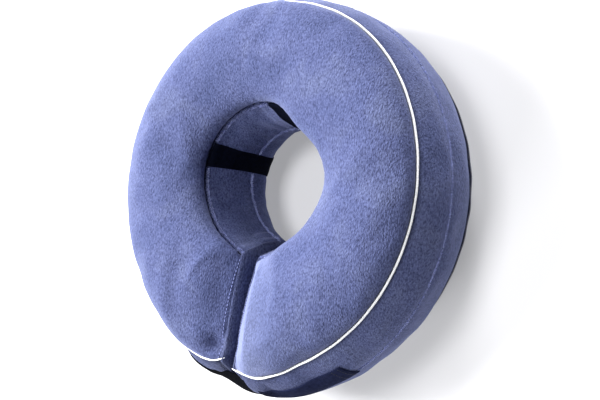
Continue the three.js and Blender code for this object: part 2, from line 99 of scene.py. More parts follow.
def plan(column, angle):
    """A column of the plan at an angle in degrees, on a smooth curve through its rows."""
    at = np.array(RING_PLAN["at"], float)
    value = np.array(RING_PLAN[column])
    slope = np.diff(value) / np.diff(at)
    tangent = np.r_[0, (slope[:-1] + slope[1:]) / 2, 0]
    row = int(np.clip(np.searchsorted(at, angle) - 1, 0, len(at) - 2))
    span = at[row + 1] - at[row]
    t = (angle - at[row]) / span
    return (
        (1 + 2 * t) * (1 - t) ** 2 * value[row] + t * (1 - t) ** 2 * span * tangent[row]
        + t * t * (3 - 2 * t) * value[row + 1] - t * t * (1 - t) * span * tangent[row + 1]
    )


def outward(angle):
    """Level direction at an angle from the slit."""
    turn = math.radians(angle)
    return np.array([math.sin(turn), -math.cos(turn)])


def slit_angles(radius, column):
    """Angles at which a seam of that radius meets the two sides of the slit."""
    first = math.degrees(math.asin(SLIT_WIDTH / 2 / (radius * plan(column, 0))))
    last = 360 - math.degrees(math.asin(SLIT_WIDTH / 2 / (radius * plan(column, 360))))
    return first, last


OUTER_ANGLES = slit_angles(PIPING_RADIUS, "outer")
NECK_ANGLES = slit_angles(NECK_RADIUS, "neck")
BAND_LENGTH = math.radians(OUTER_ANGLES[1] - OUTER_ANGLES[0]) * (PIPING_RADIUS + NECK_RADIUS) / 2
print("band length in mm:", round(BAND_LENGTH / MM))

# %% Sizes of the section
BODY_DEPTH = 102.8 * MM
NECK_SEAM_DROP = 8.2 * MM
LIP_RISE = 20.3 * MM
LIP_LEAN = 24.1 * MM
BROW_RISE = 40.6 * MM
BROW_INSET = 13.2 * MM
BAND_BULGE = 13.0 * MM
RIDGE_DROP = 32.6 * MM
WAIST = (51.2 - 66.0) * MM
WAIST_DROP = 53.3 * MM
NECK_BULGE = 3.0 * MM
END_ROUND_RIGHT = 23.1 * MM
END_ROUND_LEFT = 43.1 * MM
REST_OUTER, REST_INNER = 0.66, 0.36
REST_OUTER_PULL, REST_INNER_PULL = 0.3, 0.28
CORNER_PULL = 0.55
ZIP_SEAM = 0.54


def bezier(points, t):
    """Points of a Bezier curve at the values t, by repeated blending of its control points."""
    levels = [np.asarray(p, float)[None, :] for p in points]
    t = np.asarray(t, float)[:, None]
    while len(levels) > 1:
        levels = [a * (1 - t) + b * t for a, b in zip(levels, levels[1:])]
    return levels[0]


def along(points, shares):
    """Points of a Bezier curve at shares of its length, so that they are evenly spaced."""
    fine = np.linspace(0, 1, 97)
    flat = bezier(points, fine)
    length = np.r_[0, np.cumsum(np.hypot(*np.diff(flat, axis=0).T))]
    return bezier(points, np.interp(np.asarray(shares) * length[-1], length, fine))


def station(share):
    """The band at a share of its length: the neck seam, the way across, and the section's curves."""
    outer_angle = OUTER_ANGLES[0] + (OUTER_ANGLES[1] - OUTER_ANGLES[0]) * share
    neck_angle = NECK_ANGLES[0] + (NECK_ANGLES[1] - NECK_ANGLES[0]) * share
    piping = outward(outer_angle) * PIPING_RADIUS * plan("outer", outer_angle)
    neck = outward(neck_angle) * NECK_RADIUS * plan("neck", neck_angle) + [0, NECK_SHIFT]
    w = float(np.hypot(*(piping - neck)))
    from_end = min(share * BAND_LENGTH / END_ROUND_RIGHT, (1 - share) * BAND_LENGTH / END_ROUND_LEFT)
    fill = 1 - (1 - min(from_end, 1)) ** 2
    lean = LIP_LEAN * fill * plan("lean", outer_angle)
    b = BAND_BULGE * plan("bulge", outer_angle)
    corner = lambda drop: -drop + (drop - BODY_DEPTH) * CORNER_PULL
    curves = {
        "front": [(0, -NECK_SEAM_DROP), (-lean, -NECK_SEAM_DROP + LIP_RISE * fill),
                  (w - BROW_INSET * fill, BROW_RISE * fill), (w, 0)],
        "outer_band": [(w, 0), (w + b / 2, -RIDGE_DROP / 3), (w + b, -RIDGE_DROP * 2 / 3),
                       (w + b, -RIDGE_DROP)],
        "outer_corner": [(w + b, -RIDGE_DROP), (w + b, corner(RIDGE_DROP)),
                         (w * (REST_OUTER + REST_OUTER_PULL), -BODY_DEPTH), (w * REST_OUTER, -BODY_DEPTH)],
        "rest": [(w * REST_OUTER, -BODY_DEPTH), (w * REST_INNER, -BODY_DEPTH)],
        "inner_corner": [(w * REST_INNER, -BODY_DEPTH), (w * (REST_INNER - REST_INNER_PULL), -BODY_DEPTH),
                         (WAIST, corner(WAIST_DROP)), (WAIST, -WAIST_DROP)],
        "neck_wall": [(WAIST, -WAIST_DROP), (WAIST / 2 - NECK_BULGE * 2, -(WAIST_DROP + NECK_SEAM_DROP) / 2),
                      (0, -NECK_SEAM_DROP)],
    }
    return {"neck": neck + RING_CENTRE, "across": (piping - neck) / w, "width": w, "curves": curves,
            "angle": outer_angle}


def place(at, flat):
    """Points in space of points in a station's section."""
    level = at["neck"] + flat[:, :1] * at["across"]
    return np.column_stack([level, flat[:, 1] + BODY_DEPTH])


def share_at(angle):
    """The share of the band's length at an angle from the slit."""
    return (angle - OUTER_ANGLES[0]) / (OUTER_ANGLES[1] - OUTER_ANGLES[0])


print("band width half way round in mm:", round(station(0.5)["width"] / MM))

# %% [markdown]
# ## One skin for the whole cover
#
# The skin is a grid: a row is one section, from the neck seam over the front and round to the neck
# seam again, and the rows follow the band from its right end to its left end. Rows are closer
# together where the ends fill out. Keeping it a grid makes everything later simple: a panel is a
# range of columns, and a normal comes from the neighbours in the two directions.

# %% Build the skin's grid
STRETCHES = [  # curve of the section, from a share of it to a share of it, columns
    ("front", 0, 1, 36),
    ("outer_band", 0, 1, 11),
    ("outer_corner", 0, ZIP_SEAM, 14),
    ("outer_corner", ZIP_SEAM, 1, 12),
    ("rest", 0, 1, 7),
    ("inner_corner", 0, 1, 18),
    ("neck_wall", 0, 1, 14),
]
counts = [count for *_, count in STRETCHES]
PIPING_SEAM, RIDGE_SEAM, BACK_SEAM, REST_START, REST_END, WAIST_SEAM, NECK_SEAM = np.cumsum(counts)


def section_loop(share):
    at = station(share)
    parts = [
        along(at["curves"][curve], first + (last - first) * np.arange(count) / count)
        for curve, first, last, count in STRETCHES
    ]
    return place(at, np.vstack(parts))


ROWS_RIGHT, ROWS_BETWEEN, ROWS_LEFT = 14, 176, 22
first = END_ROUND_RIGHT / BAND_LENGTH
last = 1 - END_ROUND_LEFT / BAND_LENGTH
SHARES = np.concatenate([
    np.linspace(0, first, ROWS_RIGHT, endpoint=False),
    np.linspace(first, last, ROWS_BETWEEN, endpoint=False),
    np.linspace(last, 1, ROWS_LEFT),
])
skin = np.array([section_loop(share) for share in SHARES])
print("skin rows and columns:", skin.shape[:2])


def normals_of(grid, closed):
    """Outward normals of a grid of points."""
    lengthwise = np.gradient(grid, axis=0)
    if closed:
        crosswise = np.roll(grid, -1, axis=1) - np.roll(grid, 1, axis=1)
    else:
        crosswise = np.gradient(grid, axis=1)
    normal = np.cross(crosswise, lengthwise)
    return normal / np.linalg.norm(normal, axis=2, keepdims=True)


# %% [markdown]
# ## Blow the cover up
#
# Plush round an air bladder is a balloon that is held at its seams. Blender's cloth solver has a
# pressure for that. The seams are pinned, the cloth between them is given 2% to spare, and 20 frames
# of pressure push it out, so that small puckers form across the seams as they do when long cloth is
# sewn to a tighter seam. The skin is already the blown-up shape, so only a little of the broad
# swelling is kept, and no point may move further than a cap.

# %% Make helpers for meshes
def grid_faces(rows, columns, closed):
    """Faces of a grid, numbered row by row and turned outwards."""
    faces = []
    for i in range(rows - 1):
        for k in range(columns if closed else columns - 1):
            a, b = i * columns + k, i * columns + (k + 1) % columns
            faces.append((a, b, b + columns, a + columns))
    return faces


def tube_faces(rows, columns):
    """Faces of a grid that is closed to a tube, with a cap at each end."""
    first, last = range(columns), range((rows - 1) * columns, rows * columns)
    return grid_faces(rows, columns, True) + [tuple(first)[::-1], tuple(last)]


def fan(ring, middle, order):
    """Triangles from a ring of points to one in its middle, turned over where the order is -1."""
    return [(a, middle, b)[::order] for a, b in zip(ring, ring[1:] + ring[:1])]


def new_piece(name, points, faces, edges=()):
    mesh = bpy.data.meshes.new(name)
    mesh.from_pydata([tuple(p) for p in points], list(edges), faces)
    mesh.polygons.foreach_set("use_smooth", [True] * len(mesh.polygons))
    mesh.update()
    piece = bpy.data.objects.new(name, mesh)
    bpy.context.collection.objects.link(piece)
    return piece


def baked(piece):
    """Replaces a piece's mesh by what its modifiers make of it, and removes them."""
    graph = bpy.context.evaluated_depsgraph_get()
    mesh = bpy.data.meshes.new_from_object(piece.evaluated_get(graph), depsgraph=graph)
    piece.modifiers.clear()
    piece.data = mesh
    return piece


def blurred(values, reach, axis, closed=False):
    """Values averaged with their neighbours up to a number of steps away, along one axis."""
    mode = "wrap" if closed else "edge"
    pad = [(0, 0)] * values.ndim
    pad[axis] = (reach, reach)
    padded = np.pad(values, pad, mode=mode)
    total = np.zeros_like(values)
    for shift in range(2 * reach + 1):
        total += np.take(padded, range(shift, shift + values.shape[axis]), axis=axis)
    return total / (2 * reach + 1)


# %% Run the cloth solver on the skin
CLOTH_FRAMES = 20
CLOTH_PRESSURE = 4.0
SPARE_CLOTH = 0.02
MOVE_CAP = 5 * MM
SINK_CAP = 2 * MM
SWELLING_KEPT = 0.25
END_RINGS = [0.85, 0.68, 0.5, 0.32, 0.15]

rows, columns = skin.shape[:2]
seam_columns = [0, PIPING_SEAM, RIDGE_SEAM, BACK_SEAM, WAIST_SEAM]


def blown_up(skin):
    """The skin after the pressure has pushed it out between its seams."""
    points = list(skin.reshape(-1, 3))
    faces = grid_faces(rows, columns, True)
    pinned = [i * columns + k for i in range(rows) for k in seam_columns]
    for end, outwards in ((0, 1), (rows - 1, -1)):
        ring = [end * columns + k for k in range(columns)]
        pinned += ring
        middle = skin[end].mean(axis=0)
        for size in END_RINGS:
            inner = [len(points) + k for k in range(columns)]
            points += list(middle + (skin[end] - middle) * size)
            for k in range(columns):
                n = (k + 1) % columns
                faces.append((ring[k], inner[k], inner[n], ring[n])[::outwards])
            ring = inner
        points.append(middle)
        faces += fan(ring, len(points) - 1, outwards)
    balloon = new_piece("balloon", points, faces)
    group = balloon.vertex_groups.new(name="pinned")
    group.add(sorted({int(k) for k in pinned}), 1.0, "REPLACE")
    cloth = balloon.modifiers.new("cloth", "CLOTH")
    settings = cloth.settings
    settings.quality = 5
    settings.mass = 0.25
    settings.tension_stiffness = settings.compression_stiffness = 18
    settings.shear_stiffness = 8
    settings.bending_stiffness = 0.4
    settings.use_pressure = True
    settings.uniform_pressure_force = CLOTH_PRESSURE
    settings.shrink_min = settings.shrink_max = -SPARE_CLOTH
    settings.vertex_group_mass = "pinned"
    settings.effector_weights.gravity = 0
    cloth.collision_settings.use_collision = False
    cloth.point_cache.frame_start = 1
    cloth.point_cache.frame_end = CLOTH_FRAMES
    for step in range(1, CLOTH_FRAMES + 1):
        bpy.context.scene.frame_set(step)
    graph = bpy.context.evaluated_depsgraph_get()
    result = balloon.evaluated_get(graph).to_mesh()
    coordinates = np.empty(len(result.vertices) * 3)
    result.vertices.foreach_get("co", coordinates)
    balloon.evaluated_get(graph).to_mesh_clear()
    bpy.data.objects.remove(balloon, do_unlink=True)
    bpy.context.scene.frame_set(1)
    return coordinates.reshape(-1, 3)[: rows * columns].reshape(rows, columns, 3)


move = blown_up(skin) - skin
rise = (move * normals_of(skin, True)).sum(axis=2)
broad = blurred(blurred(rise, 6, 0), 4, 1, closed=True)
rise = np.clip(rise - broad * (1 - SWELLING_KEPT), -SINK_CAP, MOVE_CAP)
rise = blurred(blurred(rise, 1, 0), 1, 1, closed=True)
rise[:, seam_columns] = 0
skin = skin + normals_of(skin, True) * rise[:, :, None]
print("cloth moved from", (rise.min() / MM).round(2), "to", (rise.max() / MM).round(2), "mm")

# %% [markdown]
# ## Dents and gathers
#
# The photograph shows a few soft marks that no solver would put in the same place: a shallow dimple
# on the crown, a pinched spot beside the left end's outer corner and a pucker under the neck seam.
# They are dents with a place, a depth and a reach, and one with a depth below zero is a swelling.
# The left end's outer corner also sags towards the slit. Fine gathers along the seams are ripples
# that die out a few centimetres away from the seam.

# %% Dent and gather the skin
DENTS = [
    # angle, share of the way across the front (past the piping over 1), depth and reach in mm
    (165, 0.42, 2.2, 17),
    (186, 0.6, 1.2, 22),
    (354.2, 0.82, 5.5, 8),
    (353.5, 0.96, -2.0, 8),
    (340, 0.7, 1.5, 16),
    (60, 0.35, 1.0, 25),
    (31, 1.5, -2.5, 14),
    (47, 1.15, 1.0, 7),
    (7, 1.2, -4.4, 13),
    (211, 3.05, -1.4, 3),
]
GATHER_SEED = 11

normal = normals_of(skin, True)
angles = OUTER_ANGLES[0] + (OUTER_ANGLES[1] - OUTER_ANGLES[0]) * SHARES
for angle, across, depth, reach in DENTS:
    centre = skin[np.abs(angles - angle).argmin(), int(round(across * PIPING_SEAM))]
    away = np.linalg.norm(skin - centre, axis=2)
    skin = skin - normal * (depth * MM * np.exp(-(away / (reach * MM)) ** 2))[:, :, None]

SAG, SAG_REACH, SAG_COLUMN = 4.5 * MM, 30 * MM, PIPING_SEAM - 4
away = np.linalg.norm(skin - skin[-1, SAG_COLUMN], axis=2)
away[:rows // 2] = np.inf  # only the left half of the ring sags
skin[:, :, 0] += SAG * np.exp(-(away / SAG_REACH) ** 2)


def distance_to(columns_of_seams):
    """Distance of every point of the skin from the nearest of the seams, measured over the cloth."""
    step = np.linalg.norm(np.roll(skin, -1, axis=1) - skin, axis=2)
    run = np.concatenate([np.zeros((rows, 1)), np.cumsum(step, axis=1)], axis=1)
    whole = run[:, -1:]
    best = np.full(skin.shape[:2], np.inf)
    for seam in columns_of_seams:
        gap = np.abs(run[:, :-1] - run[:, seam][:, None])
        best = np.minimum(best, np.minimum(gap, whole - gap))
    return best


def ripple(seed, waves):
    """A wavy value for each row, made of a few random waves round the band."""
    chance = np.random.default_rng(seed)
    run = SHARES * BAND_LENGTH
    total = np.zeros(len(SHARES))
    for length, height in waves:
        for _ in range(3):
            turn = 2 * np.pi * run / (length * chance.uniform(0.75, 1.3))
            total += height * np.sin(turn + chance.uniform(0, 7))
    return total


GATHERS = [
    # seam column, reach in mm, waves as (length in mm, height in mm)
    (0, 11, [(17 * MM, 0.16 * MM), (9 * MM, 0.08 * MM)]),
    (PIPING_SEAM, 9, [(21 * MM, 0.10 * MM)]),
    (RIDGE_SEAM, 8, [(26 * MM, 0.12 * MM)]),
    (WAIST_SEAM, 14, [(15 * MM, 0.30 * MM), (8 * MM, 0.10 * MM)]),
    (BACK_SEAM, 10, [(18 * MM, 0.15 * MM)]),
]
normal = normals_of(skin, True)
for number, (seam, reach, waves) in enumerate(GATHERS):
    away = distance_to([seam])
    rise = ripple(GATHER_SEED + number, waves)[:, None] * np.exp(-away / (reach * MM))
    skin = skin + normal * rise[:, :, None]

# the neck wall's cloth stands up in a thin roll just under the neck seam
NECK_ROLL, NECK_ROLL_AT = 1.6 * MM, 2.6 * MM
away = distance_to([0])[:, WAIST_SEAM:] / NECK_ROLL_AT
roll = NECK_ROLL * away * np.exp(1 - away)
skin[:, WAIST_SEAM:] += normals_of(skin, True)[:, WAIST_SEAM:] * roll[:, :, None]
skin[:, :, 2] = np.maximum(skin[:, :, 2], 0)
print("skin height in mm:", (skin[:, :, 2].max() / MM).round(1))

# %% [markdown]
# ## Panels
#
# A panel is a strip of the skin whose edges turn inwards, because each seam is sewn on the wrong
# side and turned. Next to a seam the cloth rounds down into a groove, and past it the seam
# allowance goes on into the collar. Solidify gives the cloth its thickness and one subdivision
# rounds it. Two vertex attributes are kept for the plush material: the distance from the nearest
# seam, and painted light and shade near the slit: the front is painted paler at the right end and
# the outer wall painted darker at both ends, for the light and shade that fall there.

# %% Build the panels
CLOTH_THICKNESS = 1.6 * MM
PAINTED_AT_SLIT = {  # how much the colour is painted paler, as light, or darker, as shade, at the right end and at the left end
    "plush_front_panel": (0.24, 0.0),
    "plush_outer_band_front": (-0.7, -0.9),
    "plush_outer_band_back": (-0.7, -0.9),
}
PAINTED_SLIT_REACH, PAINTED_SLIT_EDGE = 34 * MM, 8 * MM
GROOVES = {PIPING_SEAM: (1.6, 2.6), 0: (1.8, 3.0), RIDGE_SEAM: (0.5, 3.5), BACK_SEAM: (1.2, 3.0),
           WAIST_SEAM: (0.5, 4.0)}
END_GROOVE = (1.6, 3.0)
ALLOWANCE = [(0.15 * MM, 0.0), (0.5 * MM, 1.6 * MM), (0.9 * MM, 4.2 * MM)]  # back from the seam, down


def groove_of(distance, depth, reach):
    return depth * MM * np.exp(-(distance / (reach * MM)) ** 2)


normal = normals_of(skin, True)
end_distance = np.minimum(SHARES, 1 - SHARES)[:, None] * BAND_LENGTH
seam_distance = np.minimum(distance_to([0, PIPING_SEAM, BACK_SEAM]), end_distance)
groove = groove_of(end_distance, *END_GROOVE)
for seam, size in GROOVES.items():
    groove = np.maximum(groove, groove_of(distance_to([seam]), *size))
sunk = skin - normal * groove[:, :, None]
sunk[:, :, 2] = np.maximum(sunk[:, :, 2], 0)


def with_allowance(strip, normal):
    """A strip of points with its two long edges turned in, as rows of points."""
    result = []
    for side in (0, -1):
        step = 1 if side == 0 else -1
        back = strip[:, side + step] - strip[:, side]
        back /= np.linalg.norm(back, axis=1, keepdims=True)
        turned = [strip[:, side] + back * away - normal[:, side] * down for away, down in ALLOWANCE]
        result.append(np.stack(turned[::-1] if side == 0 else turned, axis=1))
    return np.concatenate([result[0], strip[:, 1:-1], result[1]], axis=1)


def finish_cloth(piece):
    solid = piece.modifiers.new("thickness", "SOLIDIFY")
    solid.thickness = CLOTH_THICKNESS
    solid.offset = -1
    soft = piece.modifiers.new("soft", "SUBSURF")
    soft.levels = soft.render_levels = 1
    return baked(piece)


def add_attribute(piece, name, values):
    attribute = piece.data.attributes.new(name, "FLOAT", "POINT")
    attribute.data.foreach_set("value", np.asarray(values, float).ravel())


def painted_slit_light_of(name):
    """How much a panel's colour is painted paler, as light, or darker, as shade, in each row of the skin."""
    right, left = PAINTED_AT_SLIT[name]
    fade = lambda away: np.exp(-(away * BAND_LENGTH / PAINTED_SLIT_REACH) ** 2)
    off_edge = np.clip(SHARES * BAND_LENGTH / PAINTED_SLIT_EDGE, 0, 1)
    return right * fade(SHARES) * off_edge + left * fade(1 - SHARES)


def panel(name, first, last):
    """A panel of the cover between two seam columns of the skin."""
    wrap = lambda grid: np.concatenate([grid, grid[:, :1]], axis=1)[:, first:last + 1]
    turned = with_allowance(wrap(sunk), wrap(normal))
    direction = np.pad(wrap(normal), ((0, 0), (2, 2), (0, 0)), mode="edge")
    inwards = np.array([1.0, 0.0, 0.0])
    first_rows = [turned[:1] - direction[:1] * down + inwards * away for away, down in ALLOWANCE[:0:-1]]
    last_rows = [turned[-1:] - direction[-1:] * down - inwards * away for away, down in ALLOWANCE[1:]]
    grid = np.concatenate([*first_rows, turned, *last_rows], axis=0)
    piece = new_piece(name, grid.reshape(-1, 3), grid_faces(*grid.shape[:2], False))
    add_attribute(piece, "seam_distance", np.pad(wrap(seam_distance), 2))
    # painted light and painted shade near the slit, kept as a vertex attribute for the plush
    if name in PAINTED_AT_SLIT:
        brushed = painted_slit_light_of(name)
        add_attribute(piece, "brushed", np.repeat(np.pad(brushed, 2, mode="edge"), grid.shape[1]))
    finish_cloth(piece)
    print(name, "faces:", len(piece.data.polygons))
    return piece


PANELS = {
    "front_panel": (0, PIPING_SEAM),
    "outer_band_front": (PIPING_SEAM, RIDGE_SEAM),
    "outer_band_back": (RIDGE_SEAM, BACK_SEAM),
    "back_panel": (BACK_SEAM, WAIST_SEAM),
    "neck_wall": (WAIST_SEAM, NECK_SEAM),
}
cover = {name: panel("plush_" + name, *seams) for name, seams in PANELS.items()}

# %% [markdown]
# ## End panels
#
# Each end of the band is closed by a flat-cut piece that the air blows out a little into the slit.
# It is built as rings that shrink from the end seam to the middle, with the same turned-in edge.

# %% Build the end panels
DOME_SIZES = [1.0, 0.97, 0.92, 0.84, 0.74, 0.62, 0.48, 0.33, 0.17]
END_BULGE = 2.6 * MM
END_REACH = 40 * MM  # from the end seam to the middle, near enough


def end_panel(name, loop, inwards):
    """An end panel from the end loop of the skin. Inwards is the way into the band along x."""
    middle = loop.mean(axis=0)
    shifts = [(1 - back / END_REACH, down) for back, down in ALLOWANCE[:0:-1]]
    for size in DOME_SIZES:
        groove = groove_of((1 - size) * END_REACH, *END_GROOVE)
        shifts.append((size, groove - END_BULGE * (1 - size * size)))
    rings = [middle + (loop - middle) * size + [inwards * shift, 0, 0] for size, shift in shifts]
    count = len(loop)
    points = np.concatenate(rings + [middle[None] + [-inwards * END_BULGE, 0, 0]])
    faces = [face[::inwards] for face in grid_faces(len(rings), count, True)]
    start = (len(rings) - 1) * count
    faces += fan(list(range(start, start + count)), len(points) - 1, -inwards)
    points[:, 2] = np.maximum(points[:, 2], 0)
    piece = new_piece(name, points, faces)
    from_seam = [0.0, 0.0] + [(1 - size) * END_REACH for size in DOME_SIZES]
    add_attribute(piece, "seam_distance", np.r_[np.repeat(from_seam, count), END_REACH])
    return finish_cloth(piece)


cover["end_panel_right"] = end_panel("plush_end_panel_right", skin[0], 1)
cover["end_panel_left"] = end_panel("plush_end_panel_left", skin[-1], -1)
print("end panels:", [len(cover[n].data.polygons) for n in ("end_panel_right", "end_panel_left")])

# %% [markdown]
# ## Piping
#
# Piping is a cord wrapped in a bias strip of reflective tape, whose two edges are caught in the
# seam. Only the bead shows. It is a tube along the front seam, with its tape going down between
# the two panels. The cord inside is not quite even, so the bead's size wanders by a few hundredths.
# At the slit the tape is cut and tucked in, so the bead thins there, and on the left it curls in.

# %% Build the piping
BEAD_RADIUS = 0.88 * MM
BEAD_RISE = 1.3 * MM
BEAD_SIDES = 12
TAPE_HALF = 0.15 * MM
TAPE_DEPTH = 5.0 * MM
CURL_REACH = 12 * MM
CURL_COLUMNS = 1.2
SOFT_FROM, SOFT_REACH = 0.9, 6 * MM  # the line is softened past this share, up to this near the end
END_THINNING = 0.5


def on_skin(share, column, grid):
    """The value of a grid over the skin at a share of the band's length and at a column."""
    row = np.interp(share, SHARES, np.arange(rows))
    low_row, low_column = min(int(row), rows - 2), int(column)
    part_row, part_column = row - low_row, column - low_column
    near = grid[low_row:low_row + 2, [low_column % columns, (low_column + 1) % columns]]
    line = near[0] * (1 - part_row) + near[1] * part_row
    return line[0] * (1 - part_column) + line[1] * part_column


def piping_piece():
    left_end = np.clip(1 - (1 - SHARES) * BAND_LENGTH / CURL_REACH, 0, 1)
    any_end = np.clip(1 - end_distance[:, 0] / CURL_REACH, 0, 1)
    seam = PIPING_SEAM - CURL_COLUMNS * left_end ** 2
    line, out = [np.array([on_skin(share, column, grid) for share, column in zip(SHARES, seam)])
                 for grid in (sunk, normal)]
    off_end = np.clip((1 - SHARES) * BAND_LENGTH / SOFT_REACH, 0, 1)
    soften = (off_end * (SHARES > SOFT_FROM))[:, None]
    line = line * (1 - soften) + blurred(blurred(line, 3, 0), 2, 0) * soften
    side = np.cross(np.gradient(line, axis=0), out)
    side /= np.linalg.norm(side, axis=1, keepdims=True)
    thick = (1 + ripple(5, [(23 * MM, 0.012), (7 * MM, 0.008)])) * (1 - END_THINNING * any_end ** 2)
    thick = (BEAD_RADIUS * thick)[:, None]
    middle = line + out * BEAD_RISE
    opening = math.asin(TAPE_HALF / BEAD_RADIUS)
    ring = [middle - (side * math.sin(turn) + out * math.cos(turn)) * thick
            for turn in np.linspace(opening, 2 * math.pi - opening, BEAD_SIDES)]
    ring += [middle + side * s - out * TAPE_DEPTH for s in (TAPE_HALF, -TAPE_HALF)]
    grid = np.stack(ring, axis=1)
    return new_piece("reflective_piping", grid.reshape(-1, 3), tube_faces(*grid.shape[:2]))


piping = piping_piece()
print("piping faces:", len(piping.data.polygons))

# %% [markdown]
# ## Straps
#
# The neck loops are elastic and the closure is webbing, usually 18 mm and 20 mm wide. Here they are
# 17 mm and 19 mm, as the photograph shows them. Both are flat bands that follow the cloth: a grid of
# points along and across, lifted by a clearance, with a soft crown and rounded edges. A UV map in
# metres goes along and across the band, so that a weave can follow it.

# %% Build a band on a grid of points
BAND_THICKNESS = 1.1 * MM
BAND_CLEARANCE = 0.2 * MM
EDGE = [(0.0, 0.5), (0.012, 0.82), (0.04, 0.97), (0.1, 1.0)]  # share across, share of the thickness


def band(name, grid, clearance=BAND_CLEARANCE, thickness=BAND_THICKNESS):
    """A flat band over a grid of points that goes along it in rows and across it in columns."""
    up = normals_of(grid, False)
    width = np.linalg.norm(np.diff(grid, axis=1), axis=2).sum(axis=1).mean()
    run = np.r_[0, np.cumsum(np.linalg.norm(np.diff(grid[:, grid.shape[1] // 2], axis=0), axis=1))]
    shares = [s for s, _ in EDGE] + [0.3, 0.5, 0.7] + [1 - s for s, _ in EDGE[::-1]]
    top = [h for _, h in EDGE] + [1.0] * 3 + [h for _, h in EDGE[::-1]]
    position = np.array(shares) * (grid.shape[1] - 1)
    low = np.minimum(position.astype(int), grid.shape[1] - 2)
    part = (position - low)[None, :, None]
    points = grid[:, low] * (1 - part) + grid[:, low + 1] * part
    direction = up[:, low] * (1 - part) + up[:, low + 1] * part
    top = np.array(top)[None, :, None]
    above = points + direction * (clearance + thickness * top)
    below = points + direction * (clearance + thickness * (1 - top))
    loop = np.concatenate([above, below[:, ::-1][:, 1:-1]], axis=1)
    piece = new_piece(name, loop.reshape(-1, 3), tube_faces(*loop.shape[:2]))
    across = np.r_[shares, shares[::-1][1:-1]] * width
    places = np.stack(np.broadcast_arrays(run[:, None], across[None, :]), axis=2).reshape(-1, 2)
    layer = piece.data.uv_layers.new(name="band")
    for corner in piece.data.loops:
        layer.data[corner.index].uv = places[corner.vertex_index]
    return piece


# %% Build the neck loops
NECK_LOOPS = {"neck_strap_right": 99, "neck_strap_top": 180, "neck_strap_left": 261}
NECK_LOOP_WIDTH = 17 * MM
NECK_LOOP_TOP, NECK_LOOP_FOOT = 0.985, 0.45
NECK_LOOP_CLEARANCE = -0.3 * MM
NECK_LOOP_FLOOR = 1.5 * MM  # no point of a loop lies lower
NECK_LOOP_ROWS, ACROSS = 40, 7  # points along a neck loop, and across any band
WAIST_RADIUS = 51.2 * MM


def neck_loop(name, angle):
    half = math.degrees(NECK_LOOP_WIDTH / 2 / WAIST_RADIUS)
    foot = REST_END + (WAIST_SEAM - REST_END) * NECK_LOOP_FOOT
    top = WAIST_SEAM + (NECK_SEAM - WAIST_SEAM) * NECK_LOOP_TOP
    across = [share_at(a) for a in np.linspace(angle + half, angle - half, ACROSS)]
    up = np.linspace(foot, top, NECK_LOOP_ROWS)
    grid = np.array([[on_skin(share, column, skin) for share in across] for column in up])
    grid[:, :, 2] = np.maximum(grid[:, :, 2], NECK_LOOP_FLOOR)
    return band(name, grid, clearance=NECK_LOOP_CLEARANCE)


loops = {node: neck_loop("elastic_" + node, angle) for node, angle in NECK_LOOPS.items()}
print("neck loops:", list(loops))

# %% Build the closure strap
FREE_TURN, SEWN_TURN, BRIDGE_TURN = 38, 22, 10  # degrees from the slit
CLOSURE_ROWS = {"free": 26, "bridge": 25, "sewn": 10}
CLOSURE_DROP, CLOSURE_WIDTH = 17 * MM, 19 * MM
CLOSURE_SKEW = 1.5  # degrees by which the rear edge's free end reaches further
FRONT_PULL, REAR_SLACK = 8 * MM, 3 * MM  # how the bridge's two edges leave a plain curve


def closure_line(share):
    """The closure strap's path at a share of its width from its front edge."""
    drop = CLOSURE_DROP + CLOSURE_WIDTH * share
    step = np.linalg.norm(np.diff(skin[rows // 2, PIPING_SEAM:BACK_SEAM + 1], axis=0), axis=1)
    column = PIPING_SEAM + np.interp(drop, np.r_[0, np.cumsum(step)], np.arange(len(step) + 1))
    on_band = lambda angle: on_skin(share_at(angle), column, skin)
    start, end = on_band(BRIDGE_TURN), on_band(360 - BRIDGE_TURN)
    span = np.linalg.norm(end - start)
    pull = lambda angle: np.array([*outward(angle), 0]) * span / 3
    t = np.linspace(0, 1, CLOSURE_ROWS["bridge"])
    over = bezier([start, start + pull(BRIDGE_TURN - 90), end + pull(90 - BRIDGE_TURN), end], t)
    arch = 4 * t * (1 - t)
    over[:, 1] += FRONT_PULL * (1 - share) * arch - REAR_SLACK * share * arch ** 2
    free = np.linspace(FREE_TURN + CLOSURE_SKEW * share, BRIDGE_TURN, CLOSURE_ROWS["free"], endpoint=False)
    sewn = np.linspace(SEWN_TURN, BRIDGE_TURN, CLOSURE_ROWS["sewn"], endpoint=False)
    return np.vstack([[on_band(a) for a in free], over, [on_band(360 - a) for a in sewn[::-1]]])


closure_grid = np.stack([closure_line(share) for share in np.linspace(1, 0, ACROSS)], axis=1)
closure = band("webbing_closure_strap", closure_grid)
closure_steps = np.linalg.norm(np.diff(closure_grid[:, ACROSS // 2], axis=0), axis=1)
print("closure strap length in mm:", (closure_steps.sum() / MM).round())

# %% Build the zip's tape
ZIP_START, ZIP_END, ZIP_ROWS = 46, 152, 90  # degrees from the slit, and points along the tape
ZIP_WIDTH, ZIP_THICKNESS, ZIP_CLEARANCE = 5.5 * MM, 0.8 * MM, -0.9 * MM

step_over = np.linalg.norm(skin[rows // 2, BACK_SEAM + 1] - skin[rows // 2, BACK_SEAM])
zip_columns = BACK_SEAM + np.linspace(-1, 1, ACROSS) * ZIP_WIDTH / 2 / step_over
zip_shares = [share_at(angle) for angle in np.linspace(ZIP_START, ZIP_END, ZIP_ROWS)]
zip_grid = np.array([[on_skin(share, column, skin) for column in zip_columns] for share in zip_shares])
zip_tape = band("zip_tape", zip_grid, clearance=ZIP_CLEARANCE, thickness=ZIP_THICKNESS)
print("zip tape faces:", len(zip_tape.data.polygons))

# %% [markdown]
# ## Air bladder
#
# The bladder never shows. It is a plain tube of film inside the cover, a few millimetres under the
# skin so that no dent reaches it, and closed at both ends.

# %% Build the bladder
BLADDER_DEPTH = 9 * MM
BLADDER_ENDS = 10
BLADDER_STEP = 4

